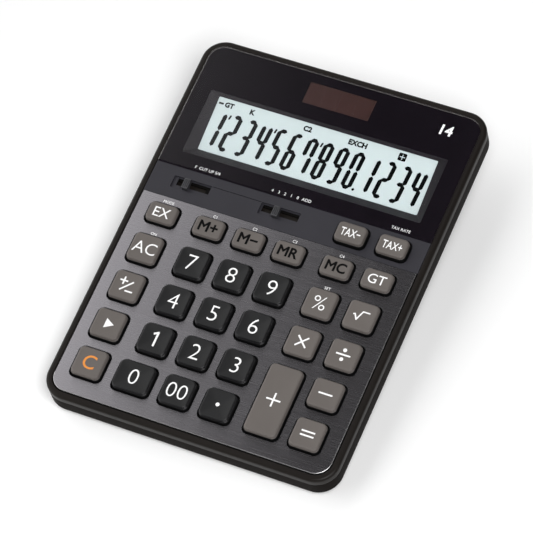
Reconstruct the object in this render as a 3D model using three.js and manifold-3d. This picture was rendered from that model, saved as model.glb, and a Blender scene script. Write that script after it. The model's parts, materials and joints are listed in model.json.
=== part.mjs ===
// Desk calculator: a tilted slab of a case with a face of keys, a switch strip and a display,
// standing on a deeper body under it. Millimetres, +Z up, +Y away from the user.
// The origin is at the middle of the footprint, on the surface that the feet stand on.
import * as THREE from 'three';
import { mergeVertices } from 'three/addons/utils/BufferGeometryUtils.js';
import Module from 'manifold-3d';

const wasm = await Module();
wasm.setup();

// ---- driving dimensions ----
const caseWidth = 155;
const faceLength = 212;
const cornerRadius = 12;
const faceTilt = THREE.MathUtils.degToRad(5.2);
const slabThickness = 13.6; // from the rim's top to the slab's underside
const upperCaseDepth = 4.5; // how far the upper case's wall comes down
const wall = 2.2;
const gap = 0.3; // between pieces that touch
const clearanceAtFront = 2.6; // under the slab's front edge
const rimShoulder = 1.7; // where the rim's outer edge starts to turn in, below its top
const lowerRound = 0.9; // on the slab's lower edge

const recessInset = 3.2; // from the case's outline to the panels' recess
const panelTop = 0.4;
const stripTop = -0.1;
const coverTop = 0.6;
const coverThickness = 1.6;
const keyDeckTop = -0.9;
const stripDeckTop = -2.0;
const coverDeckTop = -1.3;
const deckBottom = -2.9;
const panelEnd = 12.8; // where the key panel ends and the switch strip starts, along Y
const stripEnd = 30.7; // where the switch strip ends and the display cover starts

const columnPitch = 21.6;
const rowPitch = 22.1;
const middleColumn = -11.3;
const lowestRow = -84.9;
const keyWidth = 16;
const keyDepth = 16;
const smallKeyDepth = 11.2;
const keyRise = 3.4; // above the rim
const keyHoleGap = 0.75; // round a key, in the panel
const deckHoleGap = 0.5; // and in the deck under it
const keyFlange = 1.3;
const stemBottom = -4.7;

const columns = [-58.4, middleColumn - columnPitch, middleColumn, middleColumn + columnPitch, 35.8, 57.5];
const rows = [lowestRow, lowestRow + rowPitch, lowestRow + 2 * rowPitch, lowestRow + 3 * rowPitch];
const memoryRow = 2.2;
const taxRow = 21.8;

const switchLine = 22.1; // the Y of both switches
const troughDepth = 1.0;
const troughWidth = 6.6;
const shutterReach = 14.2; // how far a knob's shutter plate runs each way, to keep its slot covered
const switches = [
  { name: 'rounding_switch', from: -62, to: -41.6, knob: -54.2, reach: [-4.2, 8.4] },
  { name: 'decimal_switch', from: -14.2, to: 6.9, knob: -5.3, reach: [-6.6, 9.9] },
];

const windowBox = { x: 64.6, low: 39.4, high: 76.9 };
const viewHalf = 59.7;
const viewLow = { y: 45.5, z: -6.1 };
const viewHigh = { y: 75.4, z: -2.1 };
const solar = { width: 36, length: 12.4, y: 90.9, thickness: 1.0 };

const boardTop = -8.6;
const boardThickness = 1.6;
const sheetTop = -7.5;
const domeRadius = 3.4;
const bossAt = { x: 68.4, y: 97 };

const standBottom = 1.5; // above the surface that the feet stand on
const standHalfWidth = 62;
const standFront = -90;
const standBack = 94;
const bay = { x: 34, y: 58, width: 26, length: 32, roof: 9 };
const feet = { radius: 6, x: 50, front: -78, back: 82, height: 2 };

// ---- the face's own frame: X across, Y up the slope, Z out of the face ----
const faceHeight =
  clearanceAtFront + (faceLength / 2) * Math.sin(faceTilt) + slabThickness * Math.cos(faceTilt);
// Centres the footprint.
const faceShift = -((slabThickness - lowerRound + rimShoulder) / 2) * Math.sin(faceTilt);
const face = new THREE.Group();
face.rotation.x = faceTilt;
face.position.set(0, faceShift, faceHeight);
face.updateMatrixWorld();

const calculator = new THREE.Group();
calculator.add(face);

// ---- materials ----
const finish = (color, roughness, metalness = 0) =>
  new THREE.MeshStandardMaterial({ color, roughness, metalness });
const casePlastic = () => finish(0x2a2624, 0.55);
const keyBlack = () => finish(0x1c1d1e, 0.5);
const keyGrey = () => finish(0x7d7770, 0.5);
const brightSteel = () => finish(0xc4c6c8, 0.3, 0.9);

// ---- shape helpers ----
function roundedRectangle(width, length, radius, x = 0, y = 0) {
  const shape = new THREE.Shape();
  const right = x + width / 2 - radius;
  const top = y + length / 2 - radius;
  const left = x - width / 2 + radius;
  const bottom = y - length / 2 + radius;
  shape.absarc(right, top, radius, 0, Math.PI / 2);
  shape.absarc(left, top, radius, Math.PI / 2, Math.PI);
  shape.absarc(left, bottom, radius, Math.PI, 1.5 * Math.PI);
  shape.absarc(right, bottom, radius, 1.5 * Math.PI, 2 * Math.PI);
  return shape;
}

function plate(shape, low, high, curveSegments = 1) {
  const settings = { depth: high - low, bevelEnabled: false, curveSegments };
  const geometry = new THREE.ExtrudeGeometry(shape, settings);
  return geometry.translate(0, 0, low);
}

// A plate whose outline steps in or out on the way up. Each level is [z, inset].
function steppedPlate({ width, length, radius, x = 0, y = 0 }, levels, curveSegments = 1) {
  const shape = roundedRectangle(width, length, radius);
  const steps = levels.length - 1;
  const settings = { depth: steps, steps, bevelEnabled: false, curveSegments };
  const geometry = new THREE.ExtrudeGeometry(shape, settings);
  const position = geometry.attributes.position;
  for (let i = 0; i < position.count; i += 1) {
    const [z, inset] = levels[Math.round(position.getZ(i))];
    const scaledX = position.getX(i) * (1 - (2 * inset) / width);
    const scaledY = position.getY(i) * (1 - (2 * inset) / length);
    position.setXYZ(i, scaledX + x, scaledY + y, z);
  }
  return geometry;
}

function block(x0, x1, y0, y1, z0, z1) {
  const geometry = new THREE.BoxGeometry(x1 - x0, y1 - y0, z1 - z0);
  return geometry.translate((x0 + x1) / 2, (y0 + y1) / 2, (z0 + z1) / 2);
}

// A box with its top and bottom moved to two different rectangles, each with a height at its
// low and high Y edge.
function funnel(bottom, top) {
  const geometry = new THREE.BoxGeometry(2, 2, 2);
  const position = geometry.attributes.position;
  for (let i = 0; i < position.count; i += 1) {
    const end = position.getZ(i) > 0 ? top : bottom;
    const high = position.getY(i) > 0;
    position.setXYZ(i, position.getX(i) * end.x, high ? end.high : end.low, high ? end.zHigh : end.zLow);
  }
  return geometry;
}

function rod(radius, x, y, low, high, segments = 16) {
  const geometry = new THREE.CylinderGeometry(radius, radius, high - low, segments);
  return geometry.rotateX(Math.PI / 2).translate(x, y, (low + high) / 2);
}

// A strip of even thickness that follows a line in the YZ plane, made flat and square to X.
function bentStrip(points, thickness, x0, x1) {
  const shape = new THREE.Shape(
    [...points, ...points.map(([y, z]) => [y, z - thickness]).reverse()]
      .map(([y, z]) => new THREE.Vector2(y, z)),
  );
  const geometry = new THREE.ExtrudeGeometry(shape, { depth: x1 - x0, bevelEnabled: false });
  const basis = new THREE.Matrix4().makeBasis(
    new THREE.Vector3(0, 1, 0),
    new THREE.Vector3(0, 0, 1),
    new THREE.Vector3(1, 0, 0),
  );
  return geometry.applyMatrix4(basis).translate(x0, 0, 0);
}

const inFace = (geometry) => geometry.applyMatrix4(face.matrixWorld);

// ---- joining and cutting ----
function solid(geometry) {
  const bare = geometry.clone();
  bare.deleteAttribute('normal');
  bare.deleteAttribute('uv');
  const merged = mergeVertices(bare, 1e-4);
  return new wasm.Manifold(
    new wasm.Mesh({
      numProp: 3,
      vertProperties: new Float32Array(merged.attributes.position.array),
      triVerts: new Uint32Array(merged.index.array),
    }),
  );
}

const join = (first, ...others) => others.reduce((all, next) => all.add(solid(next)), solid(first));
const cut = (body, ...tools) => tools.reduce((rest, tool) => rest.subtract(solid(tool)), body);

function surface(body) {
  const { vertProperties, triVerts } = body.getMesh();
  const geometry = new THREE.BufferGeometry();
  geometry.setAttribute('position', new THREE.BufferAttribute(vertProperties, 3));
  geometry.setIndex(new THREE.BufferAttribute(triVerts, 1));
  geometry.computeVertexNormals();
  return geometry;
}

function place(name, geometry, material, parent = face) {
  const mesh = new THREE.Mesh(geometry, material);
  mesh.name = name;
  parent.add(mesh);
}

// ---- the keys ----
const key = (name, column, row, more = {}) => ({
  name: `key_${name}`,
  x: columns[column],
  y: row,
  width: keyWidth,
  depth: keyDepth,
  material: keyGrey,
  ...more,
});
const small = { depth: smallKeyDepth };
const dark = { material: keyBlack };
const wideZero = 3.2;
const widePlus = 1.8;

const keys = [
  key('clear', 0, rows[0]),
  key('backspace', 0, rows[1]),
  key('sign', 0, rows[2]),
  key('all_clear', 0, rows[3]),
  key('exchange', 0, memoryRow, small),
  key('memory_plus', 1, memoryRow, small),
  key('memory_minus', 2, memoryRow, small),
  key('memory_recall', 3, memoryRow, small),
  key('memory_clear', 4, memoryRow, small),
  key('grand_total', 5, memoryRow, small),
  key('tax_minus', 4, taxRow, { ...small, x: columns[4] - 0.4 }),
  key('tax_plus', 5, taxRow, small),
  key('percent', 4, rows[3]),
  key('root', 5, rows[3]),
  key('multiply', 4, rows[2]),
  key('divide', 5, rows[2]),
  key('minus', 5, rows[1]),
  key('equals', 5, rows[0]),
  key('plus', 4, (rows[0] + rows[1]) / 2, {
    x: columns[4] - widePlus / 2,
    width: keyWidth + widePlus,
    depth: keyDepth + rowPitch,
  }),
  key('0', 1, rows[0], { ...dark, x: columns[1] - wideZero / 2, width: keyWidth + wideZero }),
  key('00', 2, rows[0], dark),
  key('point', 3, rows[0], dark),
];
for (let digit = 1; digit <= 9; digit += 1) {
  const column = 1 + ((digit - 1) % 3);
  keys.push(key(String(digit), column, rows[1 + Math.floor((digit - 1) / 3)], dark));
}

const capRadius = 2.6;
const capDraft = 0.35;
const flangeTop = deckBottom - gap;
const flangeBottom = flangeTop - 0.8;

function keyCap({ x, y, width, depth }) {
  const foot = Math.min(width, depth) / 2 - domeRadius;
  return steppedPlate({ width, length: depth, radius: capRadius, x, y }, [
    [stemBottom, foot],
    [flangeBottom, -keyFlange],
    [flangeTop, -keyFlange],
    [flangeTop + 0.05, 0],
    [keyRise - 0.8, capDraft],
    [keyRise, capDraft + 1.1],
  ]);
}

for (const spec of keys) {
  place(spec.name, keyCap(spec), spec.material());
}

const keyHole = ({ x, y, width, depth }) =>
  plate(
    roundedRectangle(width + 2 * keyHoleGap, depth + 2 * keyHoleGap, capRadius + keyHoleGap, x, y), -6, 5,
  );

// ---- upper case: a rim and a deck that carries the panels ----
const caseSegments = 3; // curve segments in a case corner, doubled by three.js
const outline = { width: caseWidth, length: faceLength, radius: cornerRadius };
const inside = (inset, low, high) => {
  const shape = { width: caseWidth - 2 * inset, length: faceLength - 2 * inset, radius: cornerRadius - inset };
  return steppedPlate(shape, [[low, 0], [high, 0]], caseSegments);
};
const recess = (from, to, low) =>
  surface(
    solid(inside(recessInset, low, 5)).intersect(solid(block(-caseWidth, caseWidth, from, to, low - 1, 6))),
  );

const rimLevels = [[-upperCaseDepth, 0], [-rimShoulder, 0], [-0.8, 0.25], [-0.25, 0.8], [0, 1.6]];
const upperCase = solid(steppedPlate(outline, rimLevels, caseSegments));
const deckCuts = [
  inside(wall, -upperCaseDepth - 1, deckBottom),
  recess(-faceLength, panelEnd, keyDeckTop),
  recess(panelEnd, stripEnd, stripDeckTop),
  recess(stripEnd, faceLength, coverDeckTop),
  block(-windowBox.x - 2, windowBox.x + 2, windowBox.low - 2, windowBox.high + 2, -6, 1),
  block(-solar.width / 2 - gap, solar.width / 2 + gap, solar.y - solar.length / 2 - gap,
    solar.y + solar.length / 2 + gap, coverDeckTop - solar.thickness - gap, 1),
  ...keys.map(({ x, y, width, depth }) =>
    block(x - width / 2 - deckHoleGap, x + width / 2 + deckHoleGap,
      y - depth / 2 - deckHoleGap, y + depth / 2 + deckHoleGap, -6, 1)),
  ...switches.map(({ knob, reach }) =>
    block(knob + reach[0] - 1.6, knob + reach[1] + 1.6, switchLine - 1.7, switchLine + 1.7, -6, 1)),
];
const bossPositions = [-1, 1].flatMap((sx) => [-1, 1].map((sy) => [sx * bossAt.x, sy * bossAt.y]));
const bossSplit = -8;
const bosses = bossPositions.map(([x, y]) => rod(3.4, x, y, bossSplit, deckBottom + 0.2, 10));
const bossHoles = bossPositions.map(([x, y]) => rod(1.6, x, y, bossSplit - 1, deckBottom - 1, 8));
const upperShell = bosses.reduce((all, boss) => all.add(solid(boss)), cut(upperCase, ...deckCuts));
place('upper_case', surface(cut(upperShell, ...bossHoles)), casePlastic());

// ---- the panels on the deck ----
const panelInset = recessInset + 0.7;
const stripInset = recessInset + 0.3;
const panelPlate = (inset, from, to, low, high) =>
  solid(inside(inset, low, high)).intersect(solid(block(-caseWidth, caseWidth, from, to, low - 1, high + 1)));

const mainKeys = keys.filter((spec) => spec.y < panelEnd);
const taxKeys = keys.filter((spec) => spec.y > panelEnd);
const keyPanel = panelPlate(panelInset, -faceLength, panelEnd - gap / 2, keyDeckTop + gap, panelTop);
place(
  'key_panel',
  surface(cut(keyPanel, ...mainKeys.map((spec) => keyHole(spec)))),
  finish(0x77757b, 0.35, 0.9),
);

const switchStrip = panelPlate(
  stripInset, panelEnd + gap / 2, stripEnd - gap / 2, stripDeckTop + gap, stripTop,
);
place(
  'switch_strip',
  surface(
    cut(
      switchStrip,
      ...taxKeys.map((spec) => keyHole(spec)),
      ...switches.flatMap(({ from, to, knob, reach }) => [
        block(
          from, to, switchLine - troughWidth / 2, switchLine + troughWidth / 2, stripTop - troughDepth, 5,
        ),
        block(knob + reach[0] - 1.2, knob + reach[1] + 1.2, switchLine - 1.3, switchLine + 1.3, -6, 5),
      ]),
    ),
  ),
  finish(0x3d3c40, 0.6),
);

const coverLow = coverTop - coverThickness;
place(
  'display_cover',
  surface(panelPlate(recessInset + 0.3, stripEnd + gap / 2, faceLength, coverLow, coverTop)),
  finish(0x17161a, 0.08),
);

// ---- display: a deep bezel with sloping sides, and the display glass tilted up behind it ----
const bezelTop = coverLow - gap;
const bezelBottom = -9.2;
const viewTilt = Math.atan2(viewHigh.z - viewLow.z, viewHigh.y - viewLow.y);
const viewLength = Math.hypot(viewHigh.z - viewLow.z, viewHigh.y - viewLow.y);
const viewMiddle = [(viewLow.y + viewHigh.y) / 2, (viewLow.z + viewHigh.z) / 2];
const displayGlass = { width: 123.6, length: 33.4, thickness: 1.9 };

// A box on the display's own tilted plane, from a depth behind that plane to another.
function onDisplay(width, length, near, far) {
  const geometry = new THREE.BoxGeometry(width, length, far - near).translate(0, 0, -(near + far) / 2);
  return geometry.rotateX(viewTilt).translate(0, viewMiddle[0], viewMiddle[1]);
}

const bezelBlock = block(
  -windowBox.x - 1.7, windowBox.x + 1.7, windowBox.low - 1.7, windowBox.high + 1.7, bezelBottom, bezelTop,
);
const bezelFunnel = funnel(
  { x: viewHalf, low: viewLow.y, high: viewHigh.y, zLow: viewLow.z - 0.02, zHigh: viewHigh.z - 0.02 },
  { x: windowBox.x, low: windowBox.low, high: windowBox.high, zLow: bezelTop + 0.02, zHigh: bezelTop + 0.02 },
);
const pocketWidth = displayGlass.width + 2 * gap;
const pocketLength = displayGlass.length + 2 * gap;
const bezel = cut(
  solid(bezelBlock),
  bezelFunnel,
  onDisplay(2 * viewHalf, viewLength, -0.4, 1.5),
  onDisplay(pocketWidth, pocketLength, 0.7, 14),
);
place('display_bezel', surface(bezel), finish(0x3a393d, 0.6));
place(
  'display_glass',
  onDisplay(displayGlass.width, displayGlass.length, 0.7 + gap, 0.7 + gap + displayGlass.thickness),
  finish(0xd3e0df, 0.3),
);
place(
  'solar_cell',
  block(-solar.width / 2, solar.width / 2, solar.y - solar.length / 2, solar.y + solar.length / 2,
    coverDeckTop - solar.thickness, coverDeckTop),
  finish(0x40302c, 0.25),
);

// ---- slide switch knobs ----
for (const { name, knob } of switches) {
  const floor = stripTop - troughDepth + gap;
  const body = join(
    steppedPlate({ width: 4.4, length: 6, radius: 0.6, x: knob, y: switchLine }, [
      [floor, 0], [1.4, 0.3], [1.8, 0.7],
    ], 1),
    block(knob - 1, knob + 1, switchLine - 1, switchLine + 1, boardTop + 0.4, floor + 0.5),
    block(
      knob - shutterReach, knob + shutterReach, switchLine - 2.6, switchLine + 2.6, -4.2, deckBottom - gap,
    ),
  );
  const notch = block(knob - 0.6, knob + 0.6, switchLine - 5, switchLine + 5, 1.1, 3);
  place(`${name}_knob`, surface(cut(body, notch)), finish(0x4a494d, 0.55));
}

// ---- rubber dome sheet and circuit board ----
const sheetOutline = new THREE.Shape();
const sheetEdge = { left: -67, right: 66.5, front: -92.5, back: 10, tabLeft: 26, tabBack: 29 };
sheetOutline.moveTo(sheetEdge.left, sheetEdge.front);
sheetOutline.lineTo(sheetEdge.right, sheetEdge.front);
sheetOutline.lineTo(sheetEdge.right, sheetEdge.tabBack);
sheetOutline.lineTo(sheetEdge.tabLeft, sheetEdge.tabBack);
sheetOutline.lineTo(sheetEdge.tabLeft, sheetEdge.back);
sheetOutline.lineTo(sheetEdge.left, sheetEdge.back);
const sheetBottom = boardTop + gap;
const domes = keys.map(({ x, y }) => {
  const dome = new THREE.CylinderGeometry(domeRadius - 1, domeRadius, stemBottom - gap - sheetTop + 0.2, 6);
  return dome.rotateX(Math.PI / 2).translate(x, y, (stemBottom - gap + sheetTop - 0.2) / 2);
});
const keypadSheet = surface(join(plate(sheetOutline, sheetBottom, sheetTop), ...domes));
place('keypad_sheet', keypadSheet, finish(0x8d8f92, 0.8));

const boardBottom = boardTop - boardThickness;
const board = join(
  block(-63.5, 63.5, -95.5, 31, boardBottom, boardTop),
  block(-22, -8, -14, 0, boardBottom - 1.8, boardBottom + 0.2), // the calculator chip
  block(14, 18, -10, -4, boardBottom - 1.4, boardBottom + 0.2),
  rod(3, 30, 12, boardBottom - 5, boardBottom + 0.2, 14), // the supply capacitor
);
place('main_board', surface(board), finish(0x2f5a3c, 0.5));

// The ribbon comes off the back of the display glass and lands on the board's back edge.
const ribbon = bentStrip([[24, -8.25], [33, -8.2], [37, -9.6], [47, -9.6], [50.5, -8.55]], 0.2, -56, 18);
place('display_ribbon', ribbon, finish(0xa86f34, 0.5));

// ---- lower case: the slab's lower half joined to the deeper body that stands on the feet ----
const slabBottom = -slabThickness;
const slabLevels = [[slabBottom, lowerRound], [slabBottom + lowerRound, 0], [-upperCaseDepth - gap, 0]];
const standWidth = 2 * standHalfWidth;
const standLength = standBack - standFront;
const standMiddle = (standBack + standFront) / 2;
const standBlock = (inset, low) =>
  plate(
    roundedRectangle(standWidth - 2 * inset, standLength - 2 * inset, 10 - inset, 0, standMiddle),
    low, 40, 2,
  );
const underFace = (top) => inFace(block(-200, 200, -200, 200, -80, top));
const standSolid = (inset, low, top) => solid(standBlock(inset, low)).intersect(solid(underFace(top)));

const cornerBosses = bossPositions.map(([x, y]) =>
  inFace(rod(3.4, x, y, slabBottom + 0.5, bossSplit - gap, 10)));
const screwHeadTop = slabBottom + 2;
const cornerHoles = bossPositions.flatMap(([x, y]) => [
  inFace(rod(1.7, x, y, slabBottom - 1, 0, 8)),
  inFace(rod(3, x, y, slabBottom - 1, screwHeadTop + gap, 12)),
]);
const bayShell = block(
  bay.x - bay.width / 2 - 4, bay.x + bay.width / 2 + 4, bay.y - bay.length / 2 - 4, bay.y + bay.length / 2 + 4,
  standBottom, bay.roof + 1.5,
);
const bayInside = block(
  bay.x - bay.width / 2, bay.x + bay.width / 2, bay.y - bay.length / 2, bay.y + bay.length / 2, 0, bay.roof,
);
const coverSeat = 2; // how far the battery cover laps over each edge of the bay
const coverTopZ = standBottom + 1.6;
const batteryCoverShape = (grow) =>
  roundedRectangle(bay.width + 2 * (coverSeat + grow), bay.length + 2 * (coverSeat + grow), 3, bay.x, bay.y);
const coverScrew = { x: bay.x, y: bay.y - bay.length / 2 + 3.6 };
const cellAt = { x: bay.x, y: bay.y + 4.6, radius: 10, low: 5.2, high: 7.7 };
const leadHoles = [-6, 6].map((side) => rod(1, bay.x + side, cellAt.y, bay.roof - 1, bay.roof + 3, 8));
const footSpots = [feet.front, feet.back].flatMap((y) => [-1, 1].map((side) => [side * feet.x, y]));
const footSeats = footSpots.map(([x, y]) => rod(feet.radius + gap, x, y, 0, feet.height + gap));
const boardPosts = [-1, 1].flatMap((side) => [-88, -20, 24].map((y) => [side * 56, y]));

const slab = solid(inFace(steppedPlate(outline, slabLevels, caseSegments)));
const slabInside = solid(inFace(inside(wall, slabBottom + 2, 0)));
let lowerCase = slab.add(standSolid(0, standBottom, slabBottom + 1));
lowerCase = lowerCase.subtract(slabInside.add(standSolid(wall, standBottom + 2, -6)));
for (const piece of [...cornerBosses, bayShell]) {
  lowerCase = lowerCase.add(solid(piece));
}
const screwPillar = rod(3, coverScrew.x, coverScrew.y, coverTopZ + gap, bay.roof + 0.5, 12);
lowerCase = cut(lowerCase, bayInside).add(solid(screwPillar));
for (const [x, y] of boardPosts) {
  const post = solid(rod(2, x, y, standBottom + 1, 40, 8)).intersect(solid(underFace(boardBottom - gap)));
  lowerCase = lowerCase.add(post);
}
lowerCase = cut(
  lowerCase,
  ...cornerHoles,
  ...footSeats,
  ...leadHoles,
  plate(batteryCoverShape(gap), 0, coverTopZ + gap, 1),
  rod(1.3, coverScrew.x, coverScrew.y, 0, bay.roof - 0.8, 10),
);
place('lower_case', surface(lowerCase), casePlastic(), calculator);

// ---- fasteners ----
function screw(x, y, headLow, headHigh, headRadius, shaftRadius, tip) {
  const geometry = join(
    rod(headRadius, x, y, headLow, headHigh, 14),
    rod(shaftRadius, x, y, headHigh - 0.2, tip, 8),
  );
  const slot = headRadius * 0.6;
  return surface(
    cut(
      geometry,
      block(x - slot, x + slot, y - 0.4, y + 0.4, headLow - 1, headLow + 0.6),
      block(x - 0.4, x + 0.4, y - slot, y + slot, headLow - 1, headLow + 0.6),
    ),
  );
}

const cornerNames = ['front_left', 'back_left', 'front_right', 'back_right'];
bossPositions.forEach(([x, y], i) => {
  const geometry = screw(x, y, slabBottom + 0.5, screwHeadTop, 2.6, 1.2, deckBottom - 1.5);
  place(`case_screw_${cornerNames[i]}`, geometry, brightSteel());
});

// ---- battery cover, cell, contacts and leads ----
const coverRing = { outer: 6, inner: 4.4 };
const batteryCover = cut(
  join(
    plate(batteryCoverShape(0), standBottom, coverTopZ, 1),
    rod(coverRing.outer, cellAt.x, cellAt.y, coverTopZ - 0.2, cellAt.low - gap, 16),
  ),
  rod(coverRing.inner, cellAt.x, cellAt.y, coverTopZ, 9, 16),
  rod(1.3, coverScrew.x, coverScrew.y, 0, 9, 10),
  rod(2.4, coverScrew.x, coverScrew.y, 0, standBottom + 0.9, 14),
);
place('battery_cover', surface(batteryCover), casePlastic(), calculator);
place(
  'battery_cover_screw',
  screw(coverScrew.x, coverScrew.y, standBottom - 0.3, standBottom + 0.6, 2, 0.9, 7),
  brightSteel(),
  calculator,
);
place(
  'button_cell',
  surface(
    join(
      rod(cellAt.radius, cellAt.x, cellAt.y, cellAt.low, cellAt.high - 0.5, 24),
      rod(cellAt.radius - 1.2, cellAt.x, cellAt.y, cellAt.high - 0.6, cellAt.high, 24),
    ),
  ),
  brightSteel(),
  calculator,
);

const contactTop = bay.roof - gap;
const contact = { thickness: 0.4, halfWidth: 2.5 };
const capContact = block(
  cellAt.x - 8, cellAt.x + 2, cellAt.y - contact.halfWidth, cellAt.y + contact.halfWidth,
  contactTop - contact.thickness, contactTop,
);
const canSide = cellAt.x + cellAt.radius + gap;
const canContact = surface(
  join(
    block(canSide, canSide + contact.thickness, cellAt.y - contact.halfWidth, cellAt.y + contact.halfWidth,
      cellAt.low, contactTop),
    block(cellAt.x + 4, canSide + 0.2, cellAt.y - contact.halfWidth, cellAt.y + contact.halfWidth,
      contactTop - contact.thickness, contactTop),
  ),
);
place('battery_contact_cap', capContact, finish(0xc9b27a, 0.3, 0.9), calculator);
place('battery_contact_can', canContact, finish(0xc9b27a, 0.3, 0.9), calculator);

const leadRadius = 0.5;
const leadEnds = [
  { name: 'battery_lead_black', x: bay.x - 6, drop: 22, color: 0x1b1b1b },
  { name: 'battery_lead_red', x: bay.x + 6, drop: 26, color: 0xa8322a },
];
for (const { name, x, drop, color } of leadEnds) {
  const boardUnder = faceHeight + drop * Math.sin(faceTilt) + boardBottom * Math.cos(faceTilt) - 0.5;
  const route = new THREE.CatmullRomCurve3([
    new THREE.Vector3(x, cellAt.y, contactTop + gap),
    new THREE.Vector3(x, cellAt.y, 11.6),
    new THREE.Vector3(x, cellAt.y - 5, 13.6),
    new THREE.Vector3(x, drop + 10, 13.2),
    new THREE.Vector3(x, drop + 1.5, 14.2),
    new THREE.Vector3(x, drop, boardUnder),
  ]);
  const section = new THREE.Shape().absarc(0, 0, leadRadius, 0, 2 * Math.PI);
  const options = { extrudePath: route, steps: 14, curveSegments: 3, bevelEnabled: false };
  place(name, new THREE.ExtrudeGeometry(section, options), finish(color, 0.5), calculator);
}

// ---- rubber feet ----
const footNames = ['front_left', 'front_right', 'back_left', 'back_right'];
footSpots.forEach(([x, y], i) => {
  const foot = new THREE.CylinderGeometry(feet.radius, feet.radius - 0.5, feet.height, 16);
  foot.rotateX(Math.PI / 2).translate(x, y, feet.height / 2);
  place(`foot_${footNames[i]}`, foot, finish(0x151515, 0.9), calculator);
});

export default calculator;
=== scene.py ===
# Desk calculator: tilted case, brushed key panel, switch strip, display under a clear cover, 31 keys.
# Pieces are shaped in millimetres in the face's own frame (X across, Y up the slope, Z out of it) and
# then placed, so that every finished mesh is in metres where the frame has it.
import bpy
import bmesh
import json
import math
from mathutils import Matrix, Vector
from mathutils.bvhtree import BVHTree


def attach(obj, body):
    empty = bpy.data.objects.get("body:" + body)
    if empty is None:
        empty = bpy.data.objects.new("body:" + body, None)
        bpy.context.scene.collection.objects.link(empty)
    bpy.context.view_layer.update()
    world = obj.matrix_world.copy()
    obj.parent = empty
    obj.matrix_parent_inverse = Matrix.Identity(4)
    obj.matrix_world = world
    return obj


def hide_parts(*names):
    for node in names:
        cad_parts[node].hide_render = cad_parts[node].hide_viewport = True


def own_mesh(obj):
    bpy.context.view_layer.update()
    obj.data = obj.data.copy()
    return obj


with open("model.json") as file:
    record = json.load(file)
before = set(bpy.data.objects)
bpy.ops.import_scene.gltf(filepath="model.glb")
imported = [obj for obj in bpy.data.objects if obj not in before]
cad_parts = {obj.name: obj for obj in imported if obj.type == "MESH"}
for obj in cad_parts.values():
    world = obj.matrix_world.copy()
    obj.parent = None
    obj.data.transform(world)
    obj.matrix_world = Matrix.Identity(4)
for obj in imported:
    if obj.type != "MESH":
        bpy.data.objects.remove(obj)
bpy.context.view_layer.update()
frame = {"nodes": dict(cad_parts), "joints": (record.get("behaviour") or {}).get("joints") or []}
print("frame loaded:", len(frame["nodes"]), "nodes")

mm = 0.001

# ---- the face's frame, read from the frame's own parts ----
pressAxis = next(j for j in frame["joints"] if j["name"] == "key_5_press")["axis"]
faceTilt = math.atan2(pressAxis[1], -pressAxis[2])
faceTurn = Matrix.Rotation(faceTilt, 4, "X")


def spanOf(node, matrix):  # lowest and highest corner of a node as seen in a turned frame
    points = [matrix @ vertex.co for vertex in frame["nodes"][node].data.vertices]
    low = Vector(min(p[axis] for p in points) for axis in range(3))
    high = Vector(max(p[axis] for p in points) for axis in range(3))
    return low, high


slopeLow, slopeHigh = spanOf("upper_case", faceTurn.inverted())
faceOrigin = faceTurn @ Vector(
    ((slopeLow.x + slopeHigh.x) / 2, (slopeLow.y + slopeHigh.y) / 2, slopeHigh.z)
)
faceMatrix = Matrix.Translation(faceOrigin) @ faceTurn @ Matrix.Scale(mm, 4)
levelMatrix = Matrix.Scale(mm, 4)


def faceSpan(node):
    return spanOf(node, faceMatrix.inverted())


def middleOf(low, high):
    return (low.x + high.x) / 2, (low.y + high.y) / 2


def levelSpan(node):
    return spanOf(node, levelMatrix.inverted())


# ---- shader groups that several finishes share ----
def addNode(tree, kind, inputs=None, **settings):  # an input is a plain value or another node's output
    node = tree.nodes.new(kind)
    for name, value in settings.items():
        setattr(node, name, value)
    setInputs(tree, node, inputs or {})
    return node


def setInputs(tree, node, inputs):
    for name, value in inputs.items():
        if isinstance(value, bpy.types.NodeSocket):
            tree.links.new(value, node.inputs[name])
        else:
            node.inputs[name].default_value = value


def mathNode(tree, operation, *values):
    return addNode(tree, "ShaderNodeMath", dict(enumerate(values)), operation=operation).outputs["Value"]


def scaleColor(tree, color, factor):
    scaled = addNode(tree, "ShaderNodeVectorMath", {0: color, "Scale": factor}, operation="SCALE")
    return scaled.outputs["Vector"]


# takes a colour, a roughness and more values; gives a colour, a roughness and a normal
def newGroup(name, values):
    group = bpy.data.node_groups.new(name, "ShaderNodeTree")
    for label, value in values.items():
        kind = "NodeSocketColor" if label == "Color" else "NodeSocketFloat"
        group.interface.new_socket(label, in_out="INPUT", socket_type=kind).default_value = value
    for label, kind in [("Color", "Color"), ("Roughness", "Float"), ("Normal", "Vector")]:
        group.interface.new_socket(label, in_out="OUTPUT", socket_type=f"NodeSocket{kind}")
    enter, leave = group.nodes.new("NodeGroupInput"), group.nodes.new("NodeGroupOutput")
    return group, enter.outputs, leave, addNode(group, "ShaderNodeTexCoord").outputs["Object"]


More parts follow.
